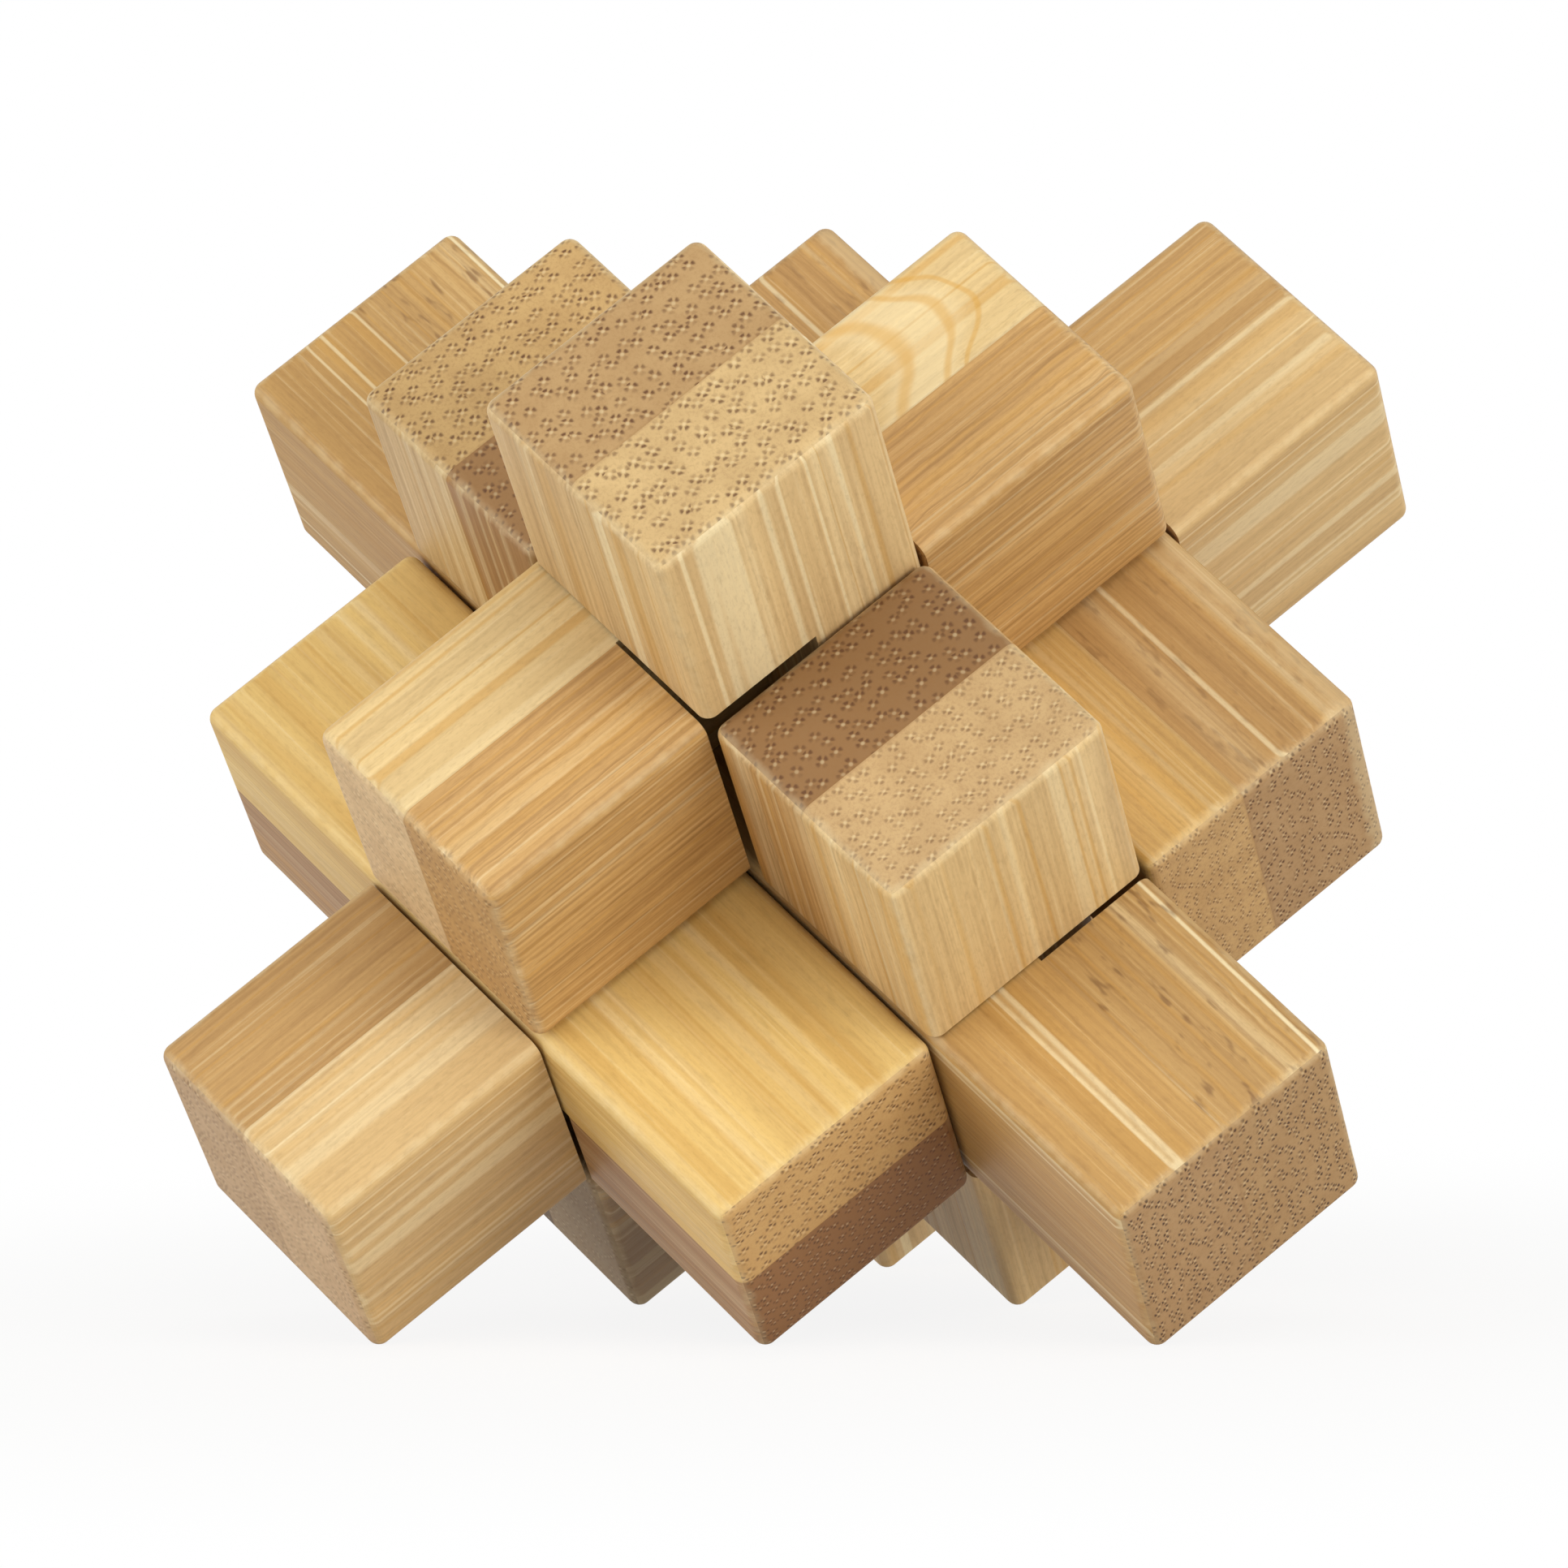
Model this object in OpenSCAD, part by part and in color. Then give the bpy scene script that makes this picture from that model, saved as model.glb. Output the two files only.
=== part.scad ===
/* [Bars] */
// Width of the square space that one bar fills, from bar to bar
bar_w = 15; // [12:0.5:20]
// How far each end of a long bar stands out past the short bars
end_proud = 15; // [8:0.5:30]
// Size of the eased edges and corners of every bar
edge_ease = 0.6; // [0.2:0.1:1.5]

/* [Fit] */
// Gap between two bars that lie face to face
fit_gap = 0.2; // [0.1:0.05:0.4]

/* [Strips] */
// How far the glue line of the key's upper bar lies off the bar's middle
glue_shift = 0.75; // [0:0.25:2]

/* [Colours] */
// Pale bamboo strips
straw = "#e6cd94";
// Golden bamboo strips
honey = "#d6b273";
// Middling brown strips
caramel = "#c69a62";
// Darkest strips
toffee = "#a97e50";

/* [Hidden] */

// Every notch falls on a grid of half a bar's width
half_w = bar_w / 2;
// True side of a bar, which leaves the gap between neighbours
bar_side = bar_w - fit_gap;
// A short bar is three bars long, and its ends are flush with its neighbours
short_len = 3 * bar_w - fit_gap;
// A long bar stands out past them at both ends
long_len = short_len + 2 * end_proud;

// Directions of the three families of bars
KEY = [1, 0, 0];
LEFT = [0, 1, 0];
BACK = [0, 0, 1];

// The puzzle stands on the lowest corners of its bars, with a space diagonal upright
tilt = atan(sqrt(2));
turn = -45;
long_reach = long_len / 2 + bar_side;
short_reach = short_len / 2 + bar_w + bar_side;
// Three eased edges meet at a corner and take one and a half eases off its reach
corner_loss = 1.5 * edge_ease;
stand_h = (max(long_reach, short_reach) - corner_loss) / sqrt(3);
// Larger than the whole puzzle
reach = 3 * long_len;

// Puts the puzzle, drawn along the axes about its centre, on its resting corners
module stand() {
    translate([0, 0, stand_h])
        rotate([tilt, 0, 0])
            rotate([0, 0, turn])
                children();
}

// Rectangle with its four corners cut at 45 degrees
module eased_outline(a, b) {
    x = a / 2;
    y = b / 2;
    e = edge_ease;
    polygon([
        [x, y - e], [x - e, y], [e - x, y], [-x, y - e],
        [-x, e - y], [e - x, -y], [x - e, -y], [x, e - y]
    ]);
}

// Box with all twelve edges eased
module eased_box(size) {
    intersection() {
        linear_extrude(size.z, center = true)
            eased_outline(size.x, size.y);
        rotate([90, 0, 90])
            linear_extrude(size.x, center = true)
                eased_outline(size.y, size.z);
        rotate([90, 0, 0])
            linear_extrude(size.y, center = true)
                eased_outline(size.x, size.z);
    }
}

// Square bar along a direction, before its notches are cut
module blank(direction, len, centre = [0, 0, 0]) {
    across = [1, 1, 1] - direction;
    translate(centre)
        eased_box(direction * len + across * bar_side);
}

// Space of whole half-widths, from low to high, with half the gap on every side
module notch(low, high) {
    margin = [1, 1, 1] * fit_gap / 2;
    translate(low * half_w - margin)
        cube((high - low) * half_w + 2 * margin);
}

// The part of a bar on one side of its glue plane
module strip(facing, plane = 0) {
    intersection() {
        children();
        translate(facing * (plane + reach / 2))
            cube(reach, center = true);
    }
}

// Long bar that unlocks the puzzle: a quarter rod, with a full-height step at one end
module key_bar() {
    difference() {
        blank(KEY, long_len);
        notch([-3, 0, -1], [3, 1, 1]);
        notch([-3, -1, -1], [1, 0, 0]);
    }
}

// Long bar with its foot at the left: a quarter rod between full ends
module left_long_bar() {
    difference() {
        blank(LEFT, long_len);
        notch([0, -3, -1], [1, 3, 1]);
        notch([-1, -3, 0], [0, 3, 1]);
    }
}

// Long bar with its foot at the back: a quarter rod between full ends
module back_long_bar() {
    difference() {
        blank(BACK, long_len);
        notch([-1, -1, -3], [0, 1, 3]);
        notch([0, -1, -3], [1, 0, 3]);
    }
}

// Short bar beside the key, bridging over the left long bar; side is 1 above and -1 below
module key_short_bar(side) {
    centre = side * bar_w * LEFT;
    difference() {
        blank(KEY, short_len, centre);
        notch([-1, 2 * side - 1, -1], [1, 2 * side + 1, 0]);
    }
}

// Short bar beside the left long bar, bridging over the back long bar
module left_short_bar(side) {
    centre = side * bar_w * BACK;
    difference() {
        blank(LEFT, short_len, centre);
        notch([0, -1, 2 * side - 1], [1, 1, 2 * side + 1]);
    }
}

// Short bar beside the back long bar, bridging over the key; side is 1 above and -1 below
module back_short_bar(side) {
    centre = -side * bar_w * KEY;
    difference() {
        blank(BACK, short_len, centre);
        notch([-2 * side - 1, -1, -1], [1 - 2 * side, 0, 1]);
    }
}

// Lower bar at the back, relieved so that the key's end can slide into it
module back_lower_bar() {
    difference() {
        back_short_bar(-1);
        notch([2, 0, -1], [3, 1, 1]);
    }
}

module key_bar_pale_strip() {
    color(honey) stand() strip(-LEFT) key_bar();
}

module key_bar_dark_strip() {
    color(caramel) stand() strip(LEFT) key_bar();
}

module key_upper_bar_pale_strip() {
    color(honey) stand() strip(-LEFT, glue_shift - bar_w) key_short_bar(1);
}

module key_upper_bar_dark_strip() {
    color(caramel) stand() strip(LEFT, bar_w - glue_shift) key_short_bar(1);
}

module key_lower_bar_pale_strip() {
    color(straw) stand() strip(BACK) key_short_bar(-1);
}

module key_lower_bar_dark_strip() {
    color(toffee) stand() strip(-BACK) key_short_bar(-1);
}

module left_long_bar_pale_strip() {
    color(straw) stand() strip(KEY) left_long_bar();
}

module left_long_bar_dark_strip() {
    color(caramel) stand() strip(-KEY) left_long_bar();
}

module left_upper_bar_pale_strip() {
    color(straw) stand() strip(-KEY) left_short_bar(1);
}

module left_upper_bar_dark_strip() {
    color(caramel) stand() strip(KEY) left_short_bar(1);
}

module left_lower_bar_pale_strip() {
    color(honey) stand() strip(KEY) left_short_bar(-1);
}

module left_lower_bar_dark_strip() {
    color(toffee) stand() strip(-KEY) left_short_bar(-1);
}

module back_long_bar_pale_strip() {
    color(straw) stand() strip(KEY) back_long_bar();
}

module back_long_bar_dark_strip() {
    color(toffee) stand() strip(-KEY) back_long_bar();
}

module back_upper_bar_pale_strip() {
    color(honey) stand() strip(-KEY, bar_w) back_short_bar(1);
}

module back_upper_bar_dark_strip() {
    color(toffee) stand() strip(KEY, -bar_w) back_short_bar(1);
}

module back_lower_bar_pale_strip() {
    color(honey) stand() strip(KEY, bar_w) back_lower_bar();
}

module back_lower_bar_dark_strip() {
    color(toffee) stand() strip(-KEY, -bar_w) back_lower_bar();
}

key_bar_pale_strip();
key_bar_dark_strip();
key_upper_bar_pale_strip();
key_upper_bar_dark_strip();
key_lower_bar_pale_strip();
key_lower_bar_dark_strip();
left_long_bar_pale_strip();
left_long_bar_dark_strip();
left_upper_bar_pale_strip();
left_upper_bar_dark_strip();
left_lower_bar_pale_strip();
left_lower_bar_dark_strip();
back_long_bar_pale_strip();
back_long_bar_dark_strip();
back_upper_bar_pale_strip();
back_upper_bar_dark_strip();
back_lower_bar_pale_strip();
back_lower_bar_dark_strip();
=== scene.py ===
"""Nine-bar burr puzzle of laminated bamboo, standing on the corners of its bars."""
import logging
import math
from dataclasses import dataclass, field
from enum import Enum
from typing import Any, Optional, Sequence, Union

import bpy
from mathutils import Matrix, Vector


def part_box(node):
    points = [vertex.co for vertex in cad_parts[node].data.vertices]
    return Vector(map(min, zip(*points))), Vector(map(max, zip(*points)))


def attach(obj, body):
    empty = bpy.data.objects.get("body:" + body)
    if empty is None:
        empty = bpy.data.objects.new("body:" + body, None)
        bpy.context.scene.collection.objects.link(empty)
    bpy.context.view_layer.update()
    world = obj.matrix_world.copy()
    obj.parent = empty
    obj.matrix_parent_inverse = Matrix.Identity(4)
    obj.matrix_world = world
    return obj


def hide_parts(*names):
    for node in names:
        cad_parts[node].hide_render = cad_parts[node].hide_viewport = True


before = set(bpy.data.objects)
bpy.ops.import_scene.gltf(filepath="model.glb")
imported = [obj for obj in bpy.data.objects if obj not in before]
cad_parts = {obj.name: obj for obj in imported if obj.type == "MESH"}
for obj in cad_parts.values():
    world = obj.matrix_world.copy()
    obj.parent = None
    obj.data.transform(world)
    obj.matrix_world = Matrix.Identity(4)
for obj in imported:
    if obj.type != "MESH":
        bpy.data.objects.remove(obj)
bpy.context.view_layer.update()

LOG = logging.getLogger("burr")
Value = Union[float, Sequence[float], bpy.types.NodeSocket]
MM = 0.001


def tone(code: str) -> tuple[float, float, float, float]:
    """Turn a colour code into linear light.

    Args:
        code: six hexadecimal digits, red, green and blue.
    Returns:
        The linear colour with full alpha.
    """
    parts = [int(code[i:i + 2], 16) / 255 for i in (0, 2, 4)]
    light = [c / 12.92 if c <= 0.04045 else ((c + 0.055) / 1.055) ** 2.4 for c in parts]
    return (light[0], light[1], light[2], 1.0)


class Way(Enum):
    """Direction in which a bar lies, along the puzzle's own axes."""

    KEY = (1.0, 0.0, 0.0)
    LEFT = (0.0, 1.0, 0.0)
    BACK = (0.0, 0.0, 1.0)

    @property
    def vector(self) -> Vector:
        """The direction as a vector."""
        return Vector(self.value)


class Ply(Enum):
    """The two strips that are glued into one bar."""

    PALE = 1
    DARK = -1

    @property
    def word(self) -> str:
        """The strip's part of a node's name."""
        return self.name.lower()


@dataclass(frozen=True)
class Stance:
    """How the puzzle stands: its centre, and its turn onto the corners of its bars."""

    centre: Vector
    tilt: float = math.atan(math.sqrt(2))
    spin: float = math.radians(-45)

    @property
    def turn(self) -> Matrix:
        """Rotation from the puzzle's own axes to the row's."""
        return Matrix.Rotation(self.tilt, 3, "X") @ Matrix.Rotation(self.spin, 3, "Z")

    def matrix(self) -> Matrix:
        """Millimetres along the puzzle's axes to metres in the row."""
        return Matrix.Translation(self.centre) @ self.turn.to_4x4() @ Matrix.Scale(MM, 4)

    def point(self, place: Vector) -> Vector:
        """A point of the puzzle, in the row."""
        return self.matrix() @ place


class Wiring:
    """Adds nodes to a tree and joins their sockets."""

    def __init__(self, tree: bpy.types.NodeTree) -> None:
        """Keep the tree that is wired."""
        self.tree = tree

    def node(self, kind: str, feeds: Optional[dict[Any, Value]] = None, **settings: Any) -> Any:
        """Add one node.

        Args:
            kind: the node's type.
            feeds: what goes into its inputs, by name or number.
            settings: the node's own properties.
        Returns:
            The new node.
        """
        made = self.tree.nodes.new(kind)
        for key, value in settings.items():
            setattr(made, key, value)
        for key, value in (feeds or {}).items():
            self.feed(made.inputs[key], value)
        return made

    def feed(self, socket: bpy.types.NodeSocket, value: Value) -> None:
        """Join a socket to another, or set it to a constant."""
        if isinstance(value, bpy.types.NodeSocket):
            self.tree.links.new(value, socket)
        else:
            socket.default_value = value

    def math(self, operation: str, a: Value, b: Value = 0.0, clamp: bool = False) -> Any:
        """One step of arithmetic, as a socket."""
        made = self.node("ShaderNodeMath", {0: a, 1: b}, operation=operation, use_clamp=clamp)
        return made.outputs[0]

    def vector(self, operation: str, a: Value, b: Value = (0.0, 0.0, 0.0)) -> Any:
        """One step of vector arithmetic, as a socket."""
        made = self.node("ShaderNodeVectorMath", {0: a, 1: b}, operation=operation)
        return made.outputs["Value" if operation in ("DOT_PRODUCT", "LENGTH") else "Vector"]

    def ramp(self, value: Value, low: float, high: float) -> Any:
        """Smooth step from 0 at low to 1 at high; low may be the larger."""
        flip = low > high
        feeds = {"Value": value, "From Min": min(low, high), "From Max": max(low, high),
                 "To Min": 1.0 if flip else 0.0, "To Max": 0.0 if flip else 1.0}
        made = self.node("ShaderNodeMapRange", feeds, interpolation_type="SMOOTHSTEP")
        return made.outputs["Result"]

    def times(self, a: Value, b: Value, clamp: bool = False) -> Any:
        """Product of two values."""
        return self.math("MULTIPLY", a, b, clamp)

    def apart(self, value: Value, middle: float) -> Any:
        """How far a value lies from a middle."""
        return self.math("ABSOLUTE", self.math("SUBTRACT", value, middle))

    def most(self, *values: Value) -> Any:
        """The largest of several values."""
        largest = values[-1]
        for value in values[-2::-1]:
            largest = self.math("MAXIMUM", value, largest)
        return largest

    def tint(self, colour: Value, hue: Value, mask: Value, amount: float) -> Any:
        """Lay a hue over a colour, as far as a mask and an amount say."""
        return self.blend(self.times(mask, amount), colour, hue)

    def sway(self, place: Value, scale: float, detail: float, spread: float) -> Any:
        """Noise about zero, with a full spread."""
        return self.times(self.math("SUBTRACT", self.noise(place, scale, detail), 0.5), spread)

    def seen(self) -> Any:
        """1 where the camera looks, straight, in a reflection or through glass."""
        path = self.node("ShaderNodeLightPath").outputs
        return self.most(path["Is Camera Ray"], path["Is Glossy Ray"], path["Is Transmission Ray"])

    def blend(self, share: Value, a: Value, b: Value) -> Any:
        """Mix two colours and return the colour socket."""
        made = self.node("ShaderNodeMix", data_type="RGBA", blend_type="MIX")
        self.feed(made.inputs[0], share)
        self.feed(made.inputs[6], a)
        self.feed(made.inputs[7], b)
        return made.outputs[2]

    def noise(self, place: Value, scale: float, detail: float = 2.0, rough: float = 0.5) -> Any:
        """Fractal noise between 0 and 1."""
        feeds = {"Vector": place, "Scale": scale, "Detail": detail, "Roughness": rough}
        return self.node("ShaderNodeTexNoise", feeds).outputs[0]

    def split(self, place: Value) -> Any:
        """The three parts of a vector, as sockets."""
        return self.node("ShaderNodeSeparateXYZ", {0: place}).outputs

    def join(self, x: Value = 0.0, y: Value = 0.0, z: Value = 0.0) -> Any:
        """A vector of three parts."""
        return self.node("ShaderNodeCombineXYZ", {0: x, 1: y, 2: z}).outputs[0]


@dataclass(frozen=True)
class Streak:
    """Noise that is drawn out along the fibre."""

    stretch: float
    shift: float
    scale: float
    detail: float
    rough: float

    def draw(self, wire: Wiring, place: Value) -> Any:
        """The noise at a place in the bar."""
        longer = wire.vector("MULTIPLY", place, (self.stretch, 1.0, 1.0))
        moved = wire.vector("ADD", longer, (self.shift, self.shift, -self.shift))
        return wire.noise(moved, self.scale, self.detail, self.rough)


class GrainLibrary:
    """Shader groups that every strip's material shares, each built once."""

    FINE = Streak(0.012, 3.0, 3.4, 3.0, 0.62)
    BANDS = Streak(0.02, 11.0, 0.42, 2.0, 0.55)
    CREAM = Streak(0.004, 23.0, 0.42, 1.0, 0.35)
    OCHRE = Streak(0.005, 37.0, 0.5, 1.0, 0.35)
    FLECKS = Streak(0.28, 51.0, 1.6, 2.0, 0.6)
    PORES = Streak(0.35, 71.0, 5.5, 2.0, 0.7)
    # Each arc of a knot: its distance from the knot's middle and its half width, in millimetres
    KNOT_ARCS = ((1.5, 0.5), (-1.4, 0.75), (3.2, 0.3))

    def __init__(self) -> None:
        """Start with no group made."""
        self.made: dict[str, bpy.types.NodeTree] = {}

    def group(self, name: str, takes: dict[str, str],
              gives: dict[str, str]) -> tuple[Wiring, Any, Any]:
        """Start a group with named inputs and outputs.

        Args:
            name: the group's name.
            takes: inputs, each with its socket type.
            gives: outputs, each with its socket type.
        Returns:
            The wiring, the inputs' sockets and the output node.
        """
        tree = bpy.data.node_groups.new(name, "ShaderNodeTree")
        for label, kind in takes.items():
            tree.interface.new_socket(label, in_out="INPUT", socket_type=kind)
        for label, kind in gives.items():
            tree.interface.new_socket(label, in_out="OUTPUT", socket_type=kind)
        wire = Wiring(tree)
        start = wire.node("NodeGroupInput").outputs
        end = wire.node("NodeGroupOutput")
        self.made[name] = tree
        return wire, start, end

    def bundles(self) -> bpy.types.NodeTree:
        """Fibre bundles: rings of four dark dots round a light heart, drawn along the bar."""
        if "bundles" in self.made:
            return self.made["bundles"]
        wire, start, end = self.group(
            "bundles",
            {"Place": "NodeSocketVector", "Spacing": "NodeSocketFloat", "Crowding": "NodeSocketFloat",
             "Ring": "NodeSocketFloat", "Seed": "NodeSocketFloat"},
            {"Dots": "NodeSocketFloat", "Hearts": "NodeSocketFloat"})
        _, across, depth = wire.split(start["Place"])
        wobble = wire.sway(start["Place"], 0.35, 1.0, 0.9)
        crowded = wire.times(start["Crowding"], wire.times(depth, depth))
        bent = wire.math("ADD", depth, crowded)
        spot = wire.join(wire.math("ADD", across, start["Seed"]), wire.math("ADD", bent, wobble), 0.0)
        even = wire.vector("DIVIDE", spot, wire.join(start["Spacing"], start["Spacing"], 1.0))
        cell = wire.node("ShaderNodeTexVoronoi", {"Vector": even, "Scale": 1.0, "Randomness": 0.7},
                         voronoi_dimensions="2D")
        far_x, far_y, _ = wire.split(wire.vector("SUBTRACT", even, cell.outputs["Position"]))
        far = wire.vector("LENGTH", wire.join(far_x, far_y, 0.0))
        angle = wire.math("ARCTAN2", far_y, far_x)
        chance = wire.split(cell.outputs["Color"])
        four = wire.math("COSINE", wire.math("ADD", wire.times(angle, 4.0), chance[0]))
        ring = wire.ramp(wire.math("ABSOLUTE", wire.math("SUBTRACT", far, start["Ring"])), 0.19, 0.02)
        petals = wire.ramp(four, -0.95, 0.5)
        outer = wire.ramp(wire.math("SINE", wire.math("ADD", angle, 0.4)), -1.9, 0.7)
        strength = wire.math("ADD", wire.times(chance[1], 0.4), 0.6)
        dots = wire.times(wire.times(ring, petals), wire.times(outer, strength))
        wire.feed(end.inputs["Dots"], dots)
        heart = wire.ramp(far, 0.17, 0.05)
        wire.feed(end.inputs["Hearts"], wire.times(heart, strength))
        return self.made["bundles"]

    def fibres(self) -> bpy.types.NodeTree:
        """Fibres along the bar: fine streaks, broad bands, and thin lines of two kinds."""
        if "fibres" in self.made:
            return self.made["fibres"]
        wire, start, end = self.group(
            "fibres", {"Place": "NodeSocketVector", "Seed": "NodeSocketFloat"},
            {"Fine": "NodeSocketFloat", "Bands": "NodeSocketFloat", "Cream": "NodeSocketFloat",
             "Ochre": "NodeSocketFloat", "Flecks": "NodeSocketFloat", "Pores": "NodeSocketFloat"})
        moved = wire.vector("ADD", start["Place"], wire.join(0.0, start["Seed"], start["Seed"]))
        wire.feed(end.inputs["Fine"], self.FINE.draw(wire, moved))
        wire.feed(end.inputs["Bands"], self.BANDS.draw(wire, moved))
        cream = wire.ramp(wire.apart(self.CREAM.draw(wire, moved), 0.53), 0.03, 0.008)
        wire.feed(end.inputs["Cream"], cream)
        ochre = wire.ramp(wire.apart(self.OCHRE.draw(wire, moved), 0.45), 0.035, 0.006)
        wire.feed(end.inputs["Ochre"], ochre)
        wire.feed(end.inputs["Flecks"], wire.ramp(self.FLECKS.draw(wire, moved), 0.56, 0.72))
        wire.feed(end.inputs["Pores"], self.PORES.draw(wire, moved))
        return self.made["fibres"]

    def knot(self) -> bpy.types.NodeTree:
        """The scar of a bamboo joint across a strip: two ochre arcs with cream between them."""
        if "knot" in self.made:
            return self.made["knot"]
        wire, start, end = self.group(
            "knot", {"Place": "NodeSocketVector", "At": "NodeSocketFloat"},
            {"Arcs": "NodeSocketFloat", "Cream": "NodeSocketFloat"})
        along, _, depth = wire.split(start["Place"])
        bend = wire.times(wire.math("SINE", wire.times(depth, 0.42)), 2.6)
        loose = wire.sway(start["Place"], 0.22, 1.0, 2.6)
        line = wire.math("SUBTRACT", wire.math("SUBTRACT", along, start["At"]), bend)
        off = wire.math("ADD", line, loose)
        arcs = [wire.ramp(wire.apart(off, spot), wide, 0.08) for spot, wide in self.KNOT_ARCS]
        wire.feed(end.inputs["Arcs"], wire.most(*arcs))
        wire.feed(end.inputs["Cream"], wire.ramp(wire.math("ABSOLUTE", off), 3.4, 1.2))
        return self.made["knot"]

    def highlight_and_wear(self) -> bpy.types.NodeTree:
        """Painted highlight along a bar's edges, partly lighter worn edges, from how near a point lies to two
        of its faces.
        """
        if "highlight_and_wear" in self.made:
            return self.made["highlight_and_wear"]
        wire, start, end = self.group(
            "highlight_and_wear", {"Place": "NodeSocketVector", "Half": "NodeSocketVector"}, {"Edge": "NodeSocketFloat"})
        inset = wire.vector("SUBTRACT", start["Half"], wire.vector("ABSOLUTE", start["Place"]))
        ragged = wire.sway(start["Place"], 0.9, 3.0, 0.8)
        near = [wire.ramp(wire.math("ADD", part, ragged), 0.62, 0.05) for part in wire.split(inset)]
        pairs = [wire.times(near[i], near[j]) for i, j in ((0, 1), (0, 2), (1, 2))]
        wire.feed(end.inputs["Edge"], wire.most(*pairs))
        return self.made["highlight_and_wear"]


@dataclass(frozen=True)
class BambooFinish:
    """How one strip of bamboo looks, on its sides and on its cut ends."""

    side: str
    end: str
    deep: str = "8a6030"
    bright: str = "f3e3b8"
    dots: str = "613c1c"
    spacing: float = 1.0
    crowding: float = 0.03
    ring: float = 0.27
    dotting: float = 0.8
    streaks: float = 0.35
    cream: float = 0.25
    ochre: float = 0.25
    flecks: float = 0.1
    knot: Optional[float] = None
    seed: float = 0.0
    ochre_hue: str = "c8943a"
    fleck_hue: str = "6b4420"
    knot_hue: str = "cf9a38"

    def material(self, name: str, grain: GrainLibrary, axes: Matrix, centre: Vector,
                 half: Vector) -> bpy.types.Material:
        """Build the strip's material.

        Args:
            name: the material's name.
            grain: the shared shader groups.
            axes: columns along the fibre, across the strip and out of the glue face, in the row.
            centre: the middle of the bar's glue line in the row.
            half: half the bar's sizes along those axes, in millimetres.
        Returns:
            The material.
        """
        made = bpy.data.materials.new(name)
        made.use_nodes = True
        made.node_tree.nodes.clear()
        wire = Wiring(made.node_tree)
        origin = wire.node("ShaderNodeTexCoord")
        feeds = {"Vector": origin.outputs["Object"], "Location": centre,
                 "Rotation": axes.to_euler(), "Scale": (MM, MM, MM)}
        place = wire.node("ShaderNodeMapping", feeds, vector_type="TEXTURE").outputs[0]
        facing = wire.vector("DOT_PRODUCT", origin.outputs["Normal"], axes.col[0])
        cut = wire.ramp(wire.math("ABSOLUTE", facing), 0.62, 0.8)
        bundles = wire.node("ShaderNodeGroup", node_tree=grain.bundles())
        for key, value in (("Place", place), ("Spacing", self.spacing), ("Crowding", self.crowding),
                           ("Ring", self.ring), ("Seed", self.seed)):
            wire.feed(bundles.inputs[key], value)
        fibres = wire.node("ShaderNodeGroup", node_tree=grain.fibres())
        wire.feed(fibres.inputs["Place"], place)
        wire.feed(fibres.inputs["Seed"], self.seed * 7.3)
        highlight_and_wear = wire.node("ShaderNodeGroup", node_tree=grain.highlight_and_wear())
        wire.feed(highlight_and_wear.inputs["Place"], place)
        wire.feed(highlight_and_wear.inputs["Half"], half)
        long_grain = self._long_grain(wire, fibres.outputs, bundles.outputs)
        if self.knot is not None:
            scar = wire.node("ShaderNodeGroup", node_tree=grain.knot())
            wire.feed(scar.inputs["Place"], place)
            wire.feed(scar.inputs["At"], self.knot)
            long_grain = wire.tint(long_grain, tone(self.bright), scar.outputs["Cream"], 0.35)
            long_grain = wire.tint(long_grain, tone(self.knot_hue), scar.outputs["Arcs"], 0.5)
        end_grain = self._end_grain(wire, fibres.outputs, bundles.outputs)
        colour = wire.blend(cut, long_grain, end_grain)
        glue = wire.ramp(wire.math("ABSOLUTE", wire.split(place)[2]), 0.16, 0.03)
        colour = wire.tint(colour, tone(self.deep), glue, 0.2)
        # Painted highlight along the edges, partly lighter worn edges: the edge mask lightens the colour
        # towards the bright tone
        colour = wire.tint(colour, tone(self.bright), highlight_and_wear.outputs["Edge"], 0.22)
        rough = wire.math("ADD", wire.times(fibres.outputs["Fine"], 0.16), 0.46)
        rough = wire.math("ADD", rough, wire.times(cut, 0.12))
        pits = wire.times(bundles.outputs["Dots"], wire.times(cut, 0.35))
        height = wire.math("SUBTRACT", wire.times(fibres.outputs["Fine"], 0.5), pits)
        bump = wire.node("ShaderNodeBump", {"Strength": 0.2, "Distance": 0.0001, "Height": height})
        shader = wire.node("ShaderNodeBsdfPrincipled", {"Base Color": colour, "Roughness": rough,
                                                        "Normal": bump.outputs[0], "IOR": 1.46})
        out = wire.node("ShaderNodeOutputMaterial")
        wire.feed(out.inputs["Surface"], shader.outputs[0])
        return made

    def _long_grain(self, wire: Wiring, fibres: Any, bundles: Any) -> Any:
        """Colour of the faces that run along the fibre."""
        deep, bright = tone(self.deep), tone(self.bright)
        colour = wire.tint(tone(self.side), deep, wire.ramp(fibres["Bands"], 0.36, 0.64), 0.22)
        colour = wire.tint(colour, bright, wire.ramp(fibres["Bands"], 0.42, 0.26), 0.35)
        colour = wire.tint(colour, deep, wire.ramp(fibres["Fine"], 0.42, 0.72), self.streaks)
        colour = wire.tint(colour, bright, wire.ramp(fibres["Fine"], 0.44, 0.26), 0.22)
        colour = wire.tint(colour, deep, bundles["Dots"], self.streaks * 0.8)
        colour = wire.tint(colour, tone(self.ochre_hue), fibres["Ochre"], self.ochre)
        colour = wire.tint(colour, bright, fibres["Cream"], self.cream)
        colour = wire.tint(colour, tone(self.fleck_hue), fibres["Flecks"], self.flecks)
        return wire.tint(colour, deep, wire.ramp(fibres["Pores"], 0.45, 0.75), 0.16)

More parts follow.
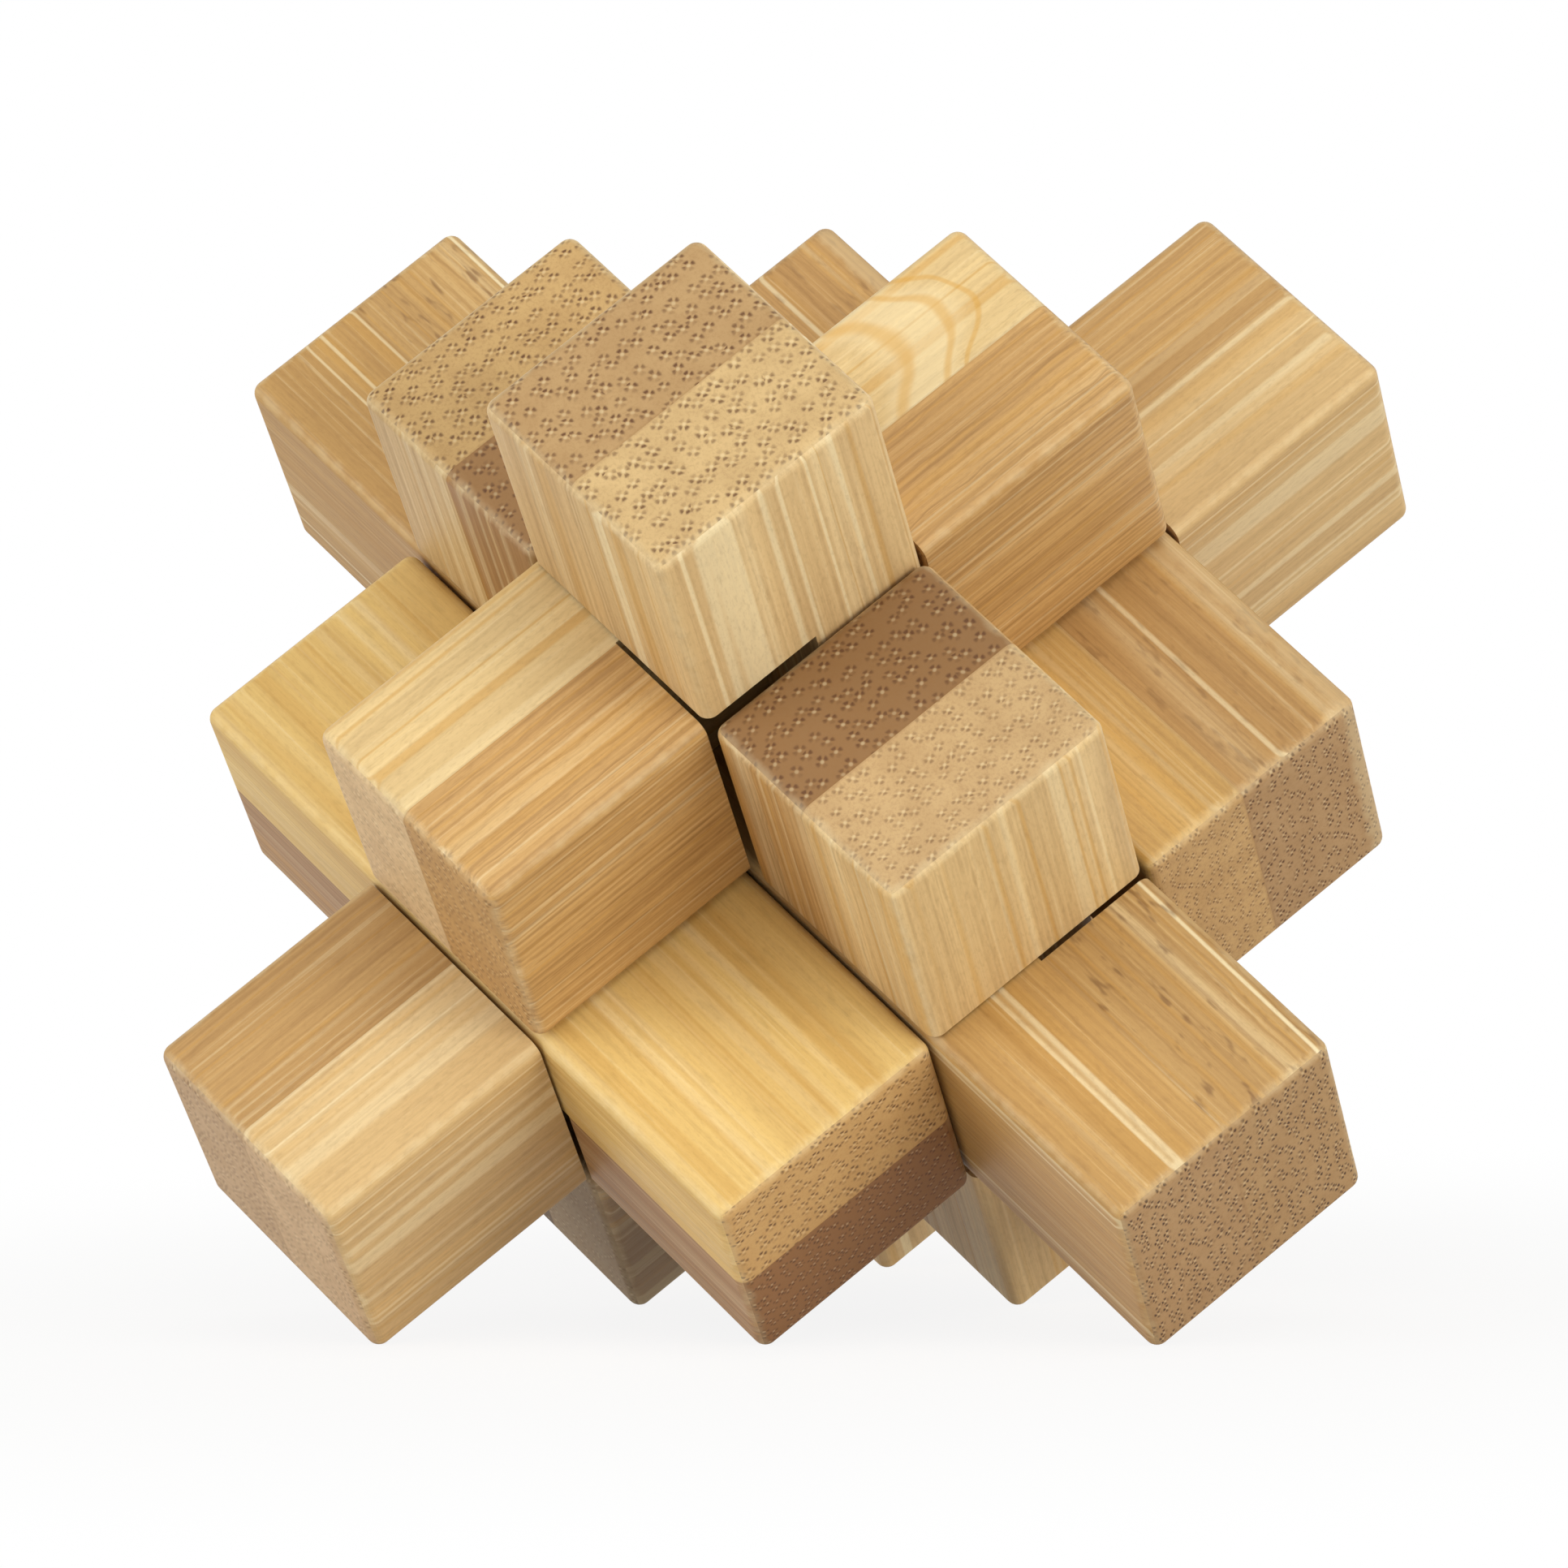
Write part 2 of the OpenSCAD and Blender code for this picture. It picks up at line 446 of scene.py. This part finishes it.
    def _end_grain(self, wire: Wiring, fibres: Any, bundles: Any) -> Any:
        """Colour of the cut ends, with the bundles as dots."""
        deep, bright = tone(self.deep), tone(self.bright)
        colour = wire.tint(tone(self.end), deep, wire.ramp(fibres["Bands"], 0.35, 0.65), 0.18)
        colour = wire.tint(colour, deep, wire.ramp(fibres["Pores"], 0.42, 0.72), 0.22)
        colour = wire.tint(colour, bright, bundles["Hearts"], 0.3)
        dark = wire.times(bundles["Dots"], self.dotting * 1.25, clamp=True)
        return wire.blend(dark, colour, tone(self.dots))


class StripTree:
    """Geometry Nodes tree of one bar's strip: a rounded bar, notched, then cut at its glue line."""

    ARC = 4

    def __init__(self, name: str, notches: int) -> None:
        """Build the tree.

        Args:
            name: the bar's name.
            notches: how many notches are cut from the bar.
        """
        self.tree = bpy.data.node_groups.new(name, "GeometryNodeTree")
        self.wire = Wiring(self.tree)
        self.keys: dict[str, str] = {}
        labels = ["Size", "Centre", "Low 0", "High 0"]
        labels += [f"{end} {i + 1}" for i in range(notches) for end in ("Low", "High")]
        for label in labels:
            self._input(label, "NodeSocketVector")
        self._input("Rounding", "NodeSocketFloat")
        self._input("Material", "NodeSocketMaterial")
        self.tree.interface.new_socket("Geometry", in_out="OUTPUT", socket_type="NodeSocketGeometry")
        self.start = self.wire.node("NodeGroupInput").outputs
        self._wire(notches)

    def _input(self, label: str, kind: str) -> None:
        """Add a named input and keep its identifier."""
        item = self.tree.interface.new_socket(label, in_out="INPUT", socket_type=kind)
        self.keys[label] = item.identifier

    def _wire(self, notches: int) -> None:
        """Join the rounded bar, the notches and the glue cut."""
        solid = self._rounded_bar()
        kept = self.wire.node("GeometryNodeMeshBoolean", operation="INTERSECT", solver="EXACT")
        self.wire.tree.links.new(solid, kept.inputs["Mesh 2"])
        self.wire.tree.links.new(self._block(0), kept.inputs["Mesh 2"])
        shape = kept.outputs["Mesh"]
        for i in range(notches):
            cut = self.wire.node("GeometryNodeMeshBoolean", operation="DIFFERENCE", solver="EXACT")
            self.wire.feed(cut.inputs["Mesh 1"], shape)
            self.wire.tree.links.new(self._block(i + 1), cut.inputs["Mesh 2"])
            shape = cut.outputs["Mesh"]
        flat = self.wire.node("GeometryNodeSetShadeSmooth", {"Geometry": shape, "Shade Smooth": False})
        real = self.wire.node("GeometryNodeRealizeInstances", {"Geometry": flat.outputs[0]})
        dressed = self.wire.node("GeometryNodeSetMaterial", {"Geometry": real.outputs[0],
                                                             "Material": self.start["Material"]})
        self.wire.node("NodeGroupOutput", {"Geometry": dressed.outputs[0]})

    def _block(self, number: int) -> Any:
        """A plain block between two corners."""
        wire, low, high = self.wire, self.start[f"Low {number}"], self.start[f"High {number}"]
        block = wire.node("GeometryNodeMeshCube", {"Size": wire.vector("SUBTRACT", high, low)})
        middle = wire.vector("MULTIPLY", wire.vector("ADD", low, high), (0.5, 0.5, 0.5))
        moved = wire.node("GeometryNodeTransform", {"Geometry": block.outputs[0], "Translation": middle})
        return moved.outputs[0]

    def _rounded_bar(self) -> Any:
        """A box whose edges and corners are rounded: each vertex slides onto its arc."""
        wire, count = self.wire, 2 * self.ARC + 2
        box = wire.node("GeometryNodeMeshCube", {"Size": (2.0, 2.0, 2.0), "Vertices X": count,
                                                 "Vertices Y": count, "Vertices Z": count})
        where = wire.node("GeometryNodeInputPosition").outputs[0]
        inner = 1 / (2 * self.ARC + 1)
        signs, bends = [], []
        for part in wire.split(where):
            signs.append(wire.math("SIGN", part))
            share = wire.math("DIVIDE", wire.math("SUBTRACT", wire.math("ABSOLUTE", part), inner), 1 - inner)
            bend = wire.math("TANGENT", wire.times(wire.math("MAXIMUM", share, 0.0), math.pi / 4))
            bends.append(wire.times(bend, signs[-1]))
        out = wire.vector("NORMALIZE", wire.join(*bends))
        arm = wire.join(self.start["Rounding"], self.start["Rounding"], self.start["Rounding"])
        core = wire.vector("SUBTRACT", wire.vector("MULTIPLY", self.start["Size"], (0.5, 0.5, 0.5)), arm)
        spot = wire.vector("ADD", wire.vector("MULTIPLY", core, wire.join(*signs)),
                           wire.vector("MULTIPLY", out, arm))
        spot = wire.vector("ADD", spot, self.start["Centre"])
        moved = wire.node("GeometryNodeSetPosition", {"Geometry": box.outputs[0], "Position": spot})
        return moved.outputs[0]

    def make(self, name: str, values: dict[str, Any]) -> bpy.types.Mesh:
        """Run the tree with its inputs set and return a plain mesh."""
        holder = bpy.data.objects.new(name + "_maker", bpy.data.meshes.new(name + "_seed"))
        bpy.context.scene.collection.objects.link(holder)
        run = holder.modifiers.new("Strip", "NODES")
        run.node_group = self.tree
        for label, value in values.items():
            run[self.keys[label]] = value
        holder.update_tag()
        graph = bpy.context.evaluated_depsgraph_get()
        mesh = bpy.data.meshes.new_from_object(holder.evaluated_get(graph), depsgraph=graph)
        holder.modifiers.remove(run)
        bpy.data.objects.remove(holder)
        mesh.name = name
        return mesh


@dataclass
class Bar:
    """One bar of the puzzle: two glued strips on the same notched blank."""

    name: str
    body: str
    way: Way
    facing: Vector
    plies: dict[Ply, BambooFinish]
    steps: Vector = field(default_factory=lambda: Vector((0.0, 0.0, 0.0)))
    notches: tuple[tuple[Sequence[int], Sequence[int]], ...] = ()
    is_long: bool = False
    width: float = 15.0
    gap: float = 0.2
    proud: float = 15.0
    ease: float = 0.6
    glue_shift: float = 0.0

    @property
    def side(self) -> float:
        """True side of the bar."""
        return self.width - self.gap

    @property
    def size(self) -> Vector:
        """Sizes of the blank along the puzzle's axes."""
        length = 3 * self.width - self.gap + (2 * self.proud if self.is_long else 0.0)
        return Vector([length if part else self.side for part in self.way.value])

    @property
    def centre(self) -> Vector:
        """Centre of the blank along the puzzle's axes."""
        return self.steps * self.width

    def glue_point(self) -> Vector:
        """A point on the glue plane."""
        return self.centre + self.facing * self.glue_shift

    def half_space(self, ply: Ply) -> tuple[Vector, Vector]:
        """Corners of a block that holds everything on one side of the glue plane."""
        reach, normal = 120.0, self.facing * ply.value
        middle = self.glue_point() + normal * reach
        spread = Vector((reach, reach, reach))
        return middle - spread, middle + spread

    def notch_block(self, low: Sequence[int], high: Sequence[int]) -> tuple[Vector, Vector]:
        """Corners of a notch that is given in half-widths."""
        margin = Vector((1.0, 1.0, 1.0)) * self.gap / 2
        return Vector(low) * self.width / 2 - margin, Vector(high) * self.width / 2 + margin

    def build(self, stance: Stance, grain: GrainLibrary) -> list[bpy.types.Object]:
        """Build both strips, dress them and put them on their body.

        Args:
            stance: how the puzzle stands.
            grain: the shared shader groups.
        Returns:
            The two strips.
        """
        tree = StripTree(self.name, len(self.notches))
        return [self._strip(ply, finish, tree, stance, grain) for ply, finish in self.plies.items()]

    def _strip(self, ply: Ply, finish: BambooFinish, tree: StripTree, stance: Stance,
               grain: GrainLibrary) -> bpy.types.Object:
        """Build one strip."""
        out = self.facing * ply.value
        along = self.way.vector
        across = out.cross(along)
        axes = stance.turn @ Matrix((along, across, out)).transposed()
        half = Vector([abs(self.size.dot(axis)) / 2 for axis in (along, across, out)])
        skin = finish.material(f"{self.name}_{ply.word}", grain, axes,
                               stance.point(self.glue_point()), half)
        values: dict[str, Any] = {"Size": self.size, "Centre": self.centre, "Material": skin,
                                  "Rounding": self.ease * 1.2}
        values["Low 0"], values["High 0"] = self.half_space(ply)
        for i, (low, high) in enumerate(self.notches):
            values[f"Low {i + 1}"], values[f"High {i + 1}"] = self.notch_block(low, high)
        node = f"{self.name}_{ply.word}_strip"
        mesh = tree.make(node + "_visual", values)
        mesh.transform(stance.matrix())
        piece = bpy.data.objects.new(node + "_visual", mesh)
        bpy.context.scene.collection.objects.link(piece)
        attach(piece, self.body)
        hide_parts(node)
        LOG.info("%s: %d faces on %s", piece.name, len(mesh.polygons), self.body)
        return piece


@dataclass
class BurrPuzzle:
    """The nine bars, three in each direction."""

    grain: GrainLibrary = field(default_factory=GrainLibrary)

    def stance(self) -> Stance:
        """The stance, with its centre taken from the long bar at the back."""
        low, high = zip(*(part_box(f"back_long_bar_{ply.word}_strip") for ply in Ply))
        lowest = Vector([min(part) for part in zip(*low)])
        highest = Vector([max(part) for part in zip(*high)])
        return Stance((lowest + highest) / 2)

    def bars(self) -> list[Bar]:
        """Every bar, with its notches in half-widths and its two finishes."""
        x, y, z = (way.vector for way in Way)
        fixed = "fixed_bars"
        return [
            Bar("key_bar", "key_bar", Way.KEY, -y, {
                # The key bar's pale side tone is partly its own tone, partly painted shade: it is darkened
                # towards its side where the neighbouring bars shade it
                Ply.PALE: BambooFinish("c49a5a", "b08c60", dots="4e2e14", spacing=0.85, dotting=1.0,
                                       cream=0.5, ochre=0.2, streaks=0.3, seed=1.0),
                Ply.DARK: BambooFinish("c39c60", "b08c5e", dots="4e2e14", spacing=0.85, dotting=1.0,
                                       cream=0.75, flecks=0.6, streaks=0.45, seed=2.0)},
                notches=(((-3, 0, -1), (3, 1, 1)), ((-3, -1, -1), (1, 0, 0))), is_long=True),
            Bar("key_upper_bar", "key_upper_bar", Way.KEY, -y, {
                Ply.PALE: BambooFinish("d6ad66", "c8a26c", spacing=0.75, ring=0.25, dotting=0.7, seed=3.0,
                                       cream=0.15, ochre=0.25, streaks=0.25),
                Ply.DARK: BambooFinish("bd9358", "b28e62", spacing=0.85, ring=0.25, dotting=1.0, seed=4.0,
                                       cream=0.5, flecks=0.35, streaks=0.4)},
                steps=y, notches=(((-1, 1, -1), (1, 3, 0)),), glue_shift=0.75),
            Bar("key_lower_bar", "key_lower_bar", Way.KEY, z, {
                Ply.PALE: BambooFinish("e2bf74", "caa268", deep="a8783c", spacing=0.95, seed=5.0,
                                       cream=0.12, ochre=0.3, streaks=0.2),
                Ply.DARK: BambooFinish("b08658", "8e6238", spacing=0.75, dotting=1.0, seed=6.0, cream=0.1,
                                       streaks=0.55)},
                steps=-y, notches=(((-1, -3, -1), (1, -1, 0)),)),
            Bar("left_long_bar", fixed, Way.LEFT, x, {
                Ply.PALE: BambooFinish("d8b67e", "d0b088", spacing=0.98, dotting=0.4, seed=7.0, cream=0.4,
                                       streaks=0.18),
                Ply.DARK: BambooFinish("c39b60", "c4a47e", spacing=0.95, dotting=0.5, seed=8.0, cream=0.12,
                                       streaks=0.35)},
                notches=(((0, -3, -1), (1, 3, 1)), ((-1, -3, 0), (0, 3, 1))), is_long=True),
            Bar("left_upper_bar", "left_upper_bar", Way.LEFT, -x, {
                Ply.PALE: BambooFinish("e7ca90", "dfc092", spacing=1.2, dotting=0.25, seed=9.0, cream=0.2,
                                       ochre=0.5, streaks=0.14, knot=14.0),
                Ply.DARK: BambooFinish("cfa466", "c49a62", spacing=0.95, dotting=0.5, seed=10.0, cream=0.25,
                                       streaks=0.5)},
                steps=z, notches=(((0, -1, 1), (1, 1, 3)),)),
            # Painted shade: the left lower bar's two tones are darkened to the shade that falls on it beneath
            # the other bars
            Bar("left_lower_bar", "left_lower_bar", Way.LEFT, x, {
                Ply.PALE: BambooFinish("a88c68", "a08a6c", spacing=0.98, dotting=0.4, seed=11.0,
                                       streaks=0.25),
                Ply.DARK: BambooFinish("6b553e", "675440", spacing=0.95, dotting=0.5, seed=12.0,
                                       streaks=0.4)},
                steps=-z, notches=(((0, -1, -3), (1, 1, -1)),)),
            Bar("back_long_bar", fixed, Way.BACK, x, {
                Ply.PALE: BambooFinish("e0c08a", "cfaf7a", spacing=1.02, dotting=0.75, seed=13.0,
                                       crowding=0.01, cream=0.55, ochre=0.4, streaks=0.25),
                Ply.DARK: BambooFinish("d8b680", "b59262", spacing=0.98, dotting=0.9, seed=14.0,
                                       crowding=0.01, cream=0.2, streaks=0.28)},
                notches=(((-1, -1, -3), (0, 1, 3)), ((0, -1, -3), (1, 0, 3))), is_long=True),
            Bar("back_upper_bar", "back_upper_bar", Way.BACK, -x, {
                Ply.PALE: BambooFinish("d0b07a", "c4a068", spacing=0.98, dotting=0.85, seed=15.0,
                                       streaks=0.3),
                Ply.DARK: BambooFinish("a47a4a", "9a7346", spacing=0.95, dotting=0.9, seed=16.0,
                                       streaks=0.45)},
                steps=-x, notches=(((-3, -1, -1), (-1, 0, 1)),)),
            Bar("back_lower_bar", fixed, Way.BACK, x, {
                Ply.PALE: BambooFinish("e4c48c", "c5a474", spacing=0.95, ring=0.25, dotting=0.5, seed=17.0,
                                       cream=0.3, ochre=0.45, streaks=0.25),
                Ply.DARK: BambooFinish("c2985e", "8c673e", spacing=1.0, dotting=1.0, crowding=0.02, seed=18.0,
                                       streaks=0.5)},
                steps=x, notches=(((1, -1, -1), (3, 0, 1)), ((2, 0, -1), (3, 1, 1)))),
        ]

    def build(self) -> None:
        """Build every bar in order."""
        stance = self.stance()
        for bar in self.bars():
            bar.build(stance, self.grain)


@dataclass
class Studio:
    """Pale floor, soft lamps and the camera."""

    floor_half: float = 4.0
    # How white the floor looks next to the object, and from where to where its shadow fades
    floor_glow: float = 0.88
    shadow_near: float = 0.03
    shadow_far: float = 0.1
    lens: float = 250.0
    sensor: float = 36.0
    roll: float = math.radians(-1.25)
    eye: Vector = field(default_factory=lambda: Vector((0.11058, -0.58145, 0.06863)))
    aim: Vector = field(default_factory=lambda: Vector((-0.00064, -0.00015, 0.02926)))

    def build(self) -> None:
        """Make the floor, the lamps, the world and the camera."""
        self._floor()
        self._world()
        self._lamp("front_softbox", (0.25, -1.1, 1.25), 1.1, 10.0, (0.98, 0.985, 0.93))
        self._lamp("right_softbox", (1.15, -0.75, 0.12), 0.9, 13.5, (0.99, 0.98, 0.93))
        self._lamp("left_softbox", (-1.15, -0.8, 0.35), 1.0, 9.5, (0.97, 0.985, 1.0))
        self._camera()
        bpy.context.scene.view_settings.view_transform = "Standard"

    def _floor(self) -> None:
        """A plain pale floor that the camera sees as near white, with the shadow kept."""
        reach = self.floor_half
        mesh = bpy.data.meshes.new("floor")
        mesh.from_pydata([(-reach, -reach, 0), (reach, -reach, 0), (reach, reach, 0), (-reach, reach, 0)],
                         [], [(0, 1, 2, 3)])
        floor = bpy.data.objects.new("floor", mesh)
        bpy.context.scene.collection.objects.link(floor)
        made = bpy.data.materials.new("floor")
        made.use_nodes = True
        made.node_tree.nodes.clear()
        wire = Wiring(made.node_tree)
        matt = wire.node("ShaderNodeBsdfDiffuse", {"Color": (0.86, 0.85, 0.83, 1.0)})
        glow = wire.node("ShaderNodeEmission", {"Color": (1.0, 1.0, 1.0, 1.0), "Strength": 1.0})
        here = wire.node("ShaderNodeTexCoord").outputs["Object"]
        away = wire.ramp(wire.vector("LENGTH", here), self.shadow_near, self.shadow_far)
        share = wire.math("ADD", wire.times(away, 1.0 - self.floor_glow), self.floor_glow)
        both = wire.node("ShaderNodeMixShader", {0: wire.times(wire.seen(), share),
                                                 1: matt.outputs[0], 2: glow.outputs[0]})
        wire.node("ShaderNodeOutputMaterial", {"Surface": both.outputs[0]})
        mesh.materials.append(made)

    def _world(self) -> None:
        """White to the eye, and a plain soft light on the object."""
        world = bpy.data.worlds.new("studio")
        world.use_nodes = True
        world.node_tree.nodes.clear()
        wire = Wiring(world.node_tree)
        soft = wire.node("ShaderNodeBackground", {"Color": (1.0, 0.99, 0.98, 1.0), "Strength": 0.42})
        white = wire.node("ShaderNodeBackground", {"Color": (1.0, 1.0, 1.0, 1.0), "Strength": 1.0})
        both = wire.node("ShaderNodeMixShader", {0: wire.seen(), 1: soft.outputs[0], 2: white.outputs[0]})
        wire.node("ShaderNodeOutputWorld", {"Surface": both.outputs[0]})
        bpy.context.scene.world = world

    def _lamp(self, name: str, place: Sequence[float], size: float, power: float,
              colour: Sequence[float]) -> None:
        """One square softbox that faces the object."""
        light = bpy.data.lights.new(name, "AREA")
        light.size, light.energy, light.color = size, power, colour
        lamp = bpy.data.objects.new(name, light)
        lamp.location = place
        lamp.rotation_euler = (self.aim - Vector(place)).to_track_quat("-Z", "Y").to_euler()
        bpy.context.scene.collection.objects.link(lamp)

    def _camera(self) -> None:
        """The camera, low, a little to the right and turned slightly about its view."""
        data = bpy.data.cameras.new("camera")
        data.lens, data.sensor_width = self.lens, self.sensor
        data.clip_start, data.clip_end = 0.05, 20.0
        camera = bpy.data.objects.new("camera", data)
        turn = (self.aim - self.eye).to_track_quat("-Z", "Y").to_matrix()
        camera.matrix_world = (Matrix.Translation(self.eye)
                               @ (turn @ Matrix.Rotation(self.roll, 3, "Z")).to_4x4())
        bpy.context.scene.collection.objects.link(camera)
        bpy.context.scene.camera = camera


def main() -> None:
    """Build the puzzle and its studio."""
    logging.basicConfig(level=logging.INFO, format="%(message)s")
    BurrPuzzle().build()
    Studio().build()


if __name__ == "__main__":
    main()
